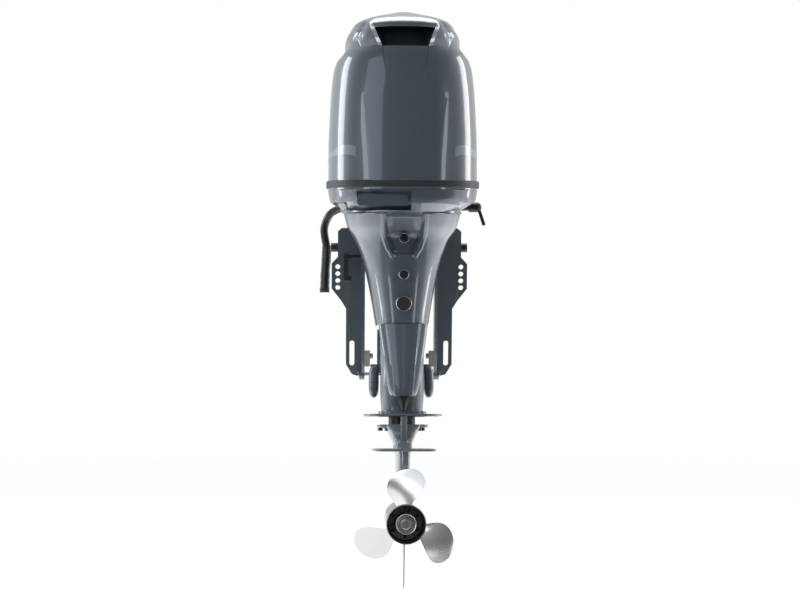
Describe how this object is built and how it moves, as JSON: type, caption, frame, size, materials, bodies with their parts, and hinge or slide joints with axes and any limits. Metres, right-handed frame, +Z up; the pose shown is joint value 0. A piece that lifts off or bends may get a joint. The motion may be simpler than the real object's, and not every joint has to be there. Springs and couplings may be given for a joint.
{
  "type": "outboard motor",
  "caption": "Long-shaft outboard motor with a tall cowl, raked transom bracket, power tilt and a three-blade propeller.",
  "frame": {"origin": "middle of the top row of transom bolt holes, on the face that meets the transom", "axes": "+X to starboard, +Y forward to the boat, +Z up along the driveshaft"},
  "size_m": [0.4374, 0.704, 1.453],
  "materials": {
    "clamp_bracket_port": "gloss",
    "clamp_bracket_starboard": "gloss",
    "tilt_tube": "satin",
    "tilt_tube_nuts": "satin",
    "cylinder_pin": "satin",
    "bracket_anodes": "matte",
    "tilt_support_lever": "matte",
    "swivel_bracket": "gloss",
    "swivel_bushes": "matte",
    "tilt_cylinder": "gloss",
    "tilt_ram": "polished",
    "ram_pin": "satin",
    "steering_arm_shaft": "satin",
    "lower_mount_yoke": "gloss",
    "rubber_mounts": "matte",
    "lower_mount_covers": "gloss",
    "exhaust_guide": "cast",
    "midsection": "gloss",
    "lower_rear_cover": "gloss",
    "apron": "gloss",
    "bottom_cowl": "gloss",
    "fuel_connector": "matte",
    "flush_plug": "matte",
    "pilot_outlet": "matte",
    "idle_exhaust_plug": "matte",
    "gearcase_bolts": "satin",
    "cylinder_block": "cast",
    "cylinder_head": "cast",
    "head_cover": "satin",
    "spark_coils": "matte",
    "timing_belt": "matte",
    "belt_cover": "satin",
    "intake_manifold": "matte",
    "starter_motor": "satin",
    "oil_filter": "gloss",
    "control_unit": "satin",
    "oil_pan": "cast",
    "water_pump": "satin",
    "gearcase": "gloss",
    "water_strainers": "matte",
    "bearing_carrier": "cast",
    "cable_bundle": "matte",
    "crankshaft": "ground",
    "flywheel": "machined",
    "driveshaft": "ground",
    "impeller": "matte",
    "pinion_gear": "ground",
    "camshaft": "ground",
    "forward_gear": "ground",
    "reverse_gear": "ground",
    "propeller_shaft": "ground",
    "propeller": "polished stainless steel",
    "propeller_nut": "satin",
    "dog_clutch": "ground",
    "shift_rod": "ground",
    "top_cowl": "gloss",
    "rubber_band": "matte",
    "latch_lever": "gloss",
    "tilt_switch": "matte",
    "trim_tab": "matte"
  },
  "bodies": {
    "clamp": {"clamp_bracket_port": "clamp_bracket_port", "clamp_bracket_starboard": "clamp_bracket_starboard", "tilt_tube": "tilt_tube", "tilt_tube_nuts": "tilt_tube_nuts", "cylinder_pin": "cylinder_pin", "bracket_anodes": "bracket_anodes"},
    "tilt_lever": {"tilt_support_lever": "tilt_support_lever"},
    "swivel": {"swivel_bracket": "swivel_bracket", "swivel_bushes": "swivel_bushes"},
    "tilt_cylinder": {"tilt_cylinder": "tilt_cylinder"},
    "tilt_ram": {"tilt_ram": "tilt_ram", "ram_pin": "ram_pin"},
    "engine": {"steering_arm_shaft": "steering_arm_shaft", "lower_mount_yoke": "lower_mount_yoke", "rubber_mounts": "rubber_mounts", "lower_mount_covers": "lower_mount_covers", "exhaust_guide": "exhaust_guide", "midsection": "midsection", "lower_rear_cover": "lower_rear_cover", "apron": "apron", "bottom_cowl": "bottom_cowl", "fuel_connector": "fuel_connector", "flush_plug": "flush_plug", "pilot_outlet": "pilot_outlet", "idle_exhaust_plug": "idle_exhaust_plug", "gearcase_bolts": "gearcase_bolts", "cylinder_block": "cylinder_block", "cylinder_head": "cylinder_head", "head_cover": "head_cover", "spark_coils": "spark_coils", "timing_belt": "timing_belt", "belt_cover": "belt_cover", "intake_manifold": "intake_manifold", "starter_motor": "starter_motor", "oil_filter": "oil_filter", "control_unit": "control_unit", "oil_pan": "oil_pan", "water_pump": "water_pump", "gearcase": "gearcase", "water_strainers": "water_strainers", "bearing_carrier": "bearing_carrier", "cable_bundle": "cable_bundle"},
    "crank": {"crankshaft": "crankshaft", "flywheel": "flywheel", "driveshaft": "driveshaft", "impeller": "impeller", "pinion_gear": "pinion_gear"},
    "cam": {"camshaft": "camshaft"},
    "forward_gear": {"forward_gear": "forward_gear"},
    "reverse_gear": {"reverse_gear": "reverse_gear"},
    "prop": {"propeller_shaft": "propeller_shaft", "propeller": "propeller", "propeller_nut": "propeller_nut"},
    "clutch": {"dog_clutch": "dog_clutch"},
    "shift": {"shift_rod": "shift_rod"},
    "cowl": {"top_cowl": "top_cowl", "rubber_band": "rubber_band"},
    "latch": {"latch_lever": "latch_lever"},
    "switch": {"tilt_switch": "tilt_switch"},
    "tab": {"trim_tab": "trim_tab"}
  },
  "joints": [
    {"name": "tilt", "type": "hinge", "parent": "clamp", "child": "swivel", "pos_m": [0, 0.025, 0.053], "axis": [-1, 0, 0], "range_deg": [-4, 66]},
    {"name": "cylinder_swing", "type": "hinge", "parent": "clamp", "child": "tilt_cylinder", "pos_m": [0, 0.03, -0.285], "axis": [-1, 0, 0], "range_deg": [-1, 5]},
    {"name": "ram_stroke", "type": "slide", "parent": "tilt_cylinder", "child": "tilt_ram", "axis": [0, -0.2216, 0.9751], "range_m": [-0.006, 0.086]},
    {"name": "support_lever_swing", "type": "hinge", "parent": "clamp", "child": "tilt_lever", "pos_m": [-0.11, -0.052, 0.02], "axis": [-1, 0, 0], "range_deg": [0, 75]},
    {"name": "steer", "type": "hinge", "parent": "swivel", "child": "engine", "pos_m": [0, -0.075, 0], "axis": [0, 0, 1], "range_deg": [-35, 35]},
    {"name": "cowl_lift", "type": "slide", "parent": "engine", "child": "cowl", "axis": [0, 0, 1], "range_m": [0, 0.42]},
    {"name": "latch_swing", "type": "hinge", "parent": "engine", "child": "latch", "pos_m": [-0.008, -0.44, 0.124], "axis": [0, -1, 0], "range_deg": [0, 40]},
    {"name": "tilt_switch_rock", "type": "hinge", "parent": "engine", "child": "switch", "pos_m": [0.186, -0.134, 0.168], "axis": [0, 1, 0], "range_deg": [-4, 4], "stiffness_Nm_per_rad": 0.5},
    {"name": "trim_tab_turn", "type": "hinge", "parent": "engine", "child": "tab", "pos_m": [0, -0.396, -0.5], "axis": [0, 0, 1], "range_deg": [-20, 20]},
    {"name": "crank_spin", "type": "hinge", "parent": "engine", "child": "crank", "pos_m": [0, -0.185, 0], "axis": [0, 0, 1], "continuous": true},
    {"name": "cam_spin", "type": "hinge", "parent": "engine", "child": "cam", "pos_m": [0, -0.36, 0], "axis": [0, 0, 1], "continuous": true},
    {"name": "forward_gear_spin", "type": "hinge", "parent": "engine", "child": "forward_gear", "pos_m": [0, -0.185, -0.658], "axis": [0, 1, 0], "continuous": true},
    {"name": "reverse_gear_spin", "type": "hinge", "parent": "engine", "child": "reverse_gear", "pos_m": [0, -0.185, -0.658], "axis": [0, 1, 0], "continuous": true},
    {"name": "propeller_spin", "type": "hinge", "parent": "engine", "child": "prop", "pos_m": [0, -0.185, -0.658], "axis": [0, 1, 0], "continuous": true},
    {"name": "shift_rod_turn", "type": "hinge", "parent": "engine", "child": "shift", "pos_m": [0, -0.13, 0], "axis": [0, 0, 1], "range_deg": [-20, 20]},
    {"name": "clutch_slide", "type": "slide", "parent": "prop", "child": "clutch", "axis": [0, 1, 0], "range_m": [-0.0055, 0.0055]}
  ],
  "couplings": [
    {"joint": "cylinder_swing", "follows": "tilt", "ratio": 0.055},
    {"joint": "ram_stroke", "follows": "tilt", "m_per_rad": 0.0645},
    {"joint": "cam_spin", "follows": "crank_spin", "ratio": 0.5},
    {"joint": "forward_gear_spin", "follows": "crank_spin", "ratio": 0.54167},
    {"joint": "reverse_gear_spin", "follows": "crank_spin", "ratio": -0.54167},
    {"joint": "clutch_slide", "follows": "shift_rod_turn", "m_per_rad": 0.015756}
  ]
}
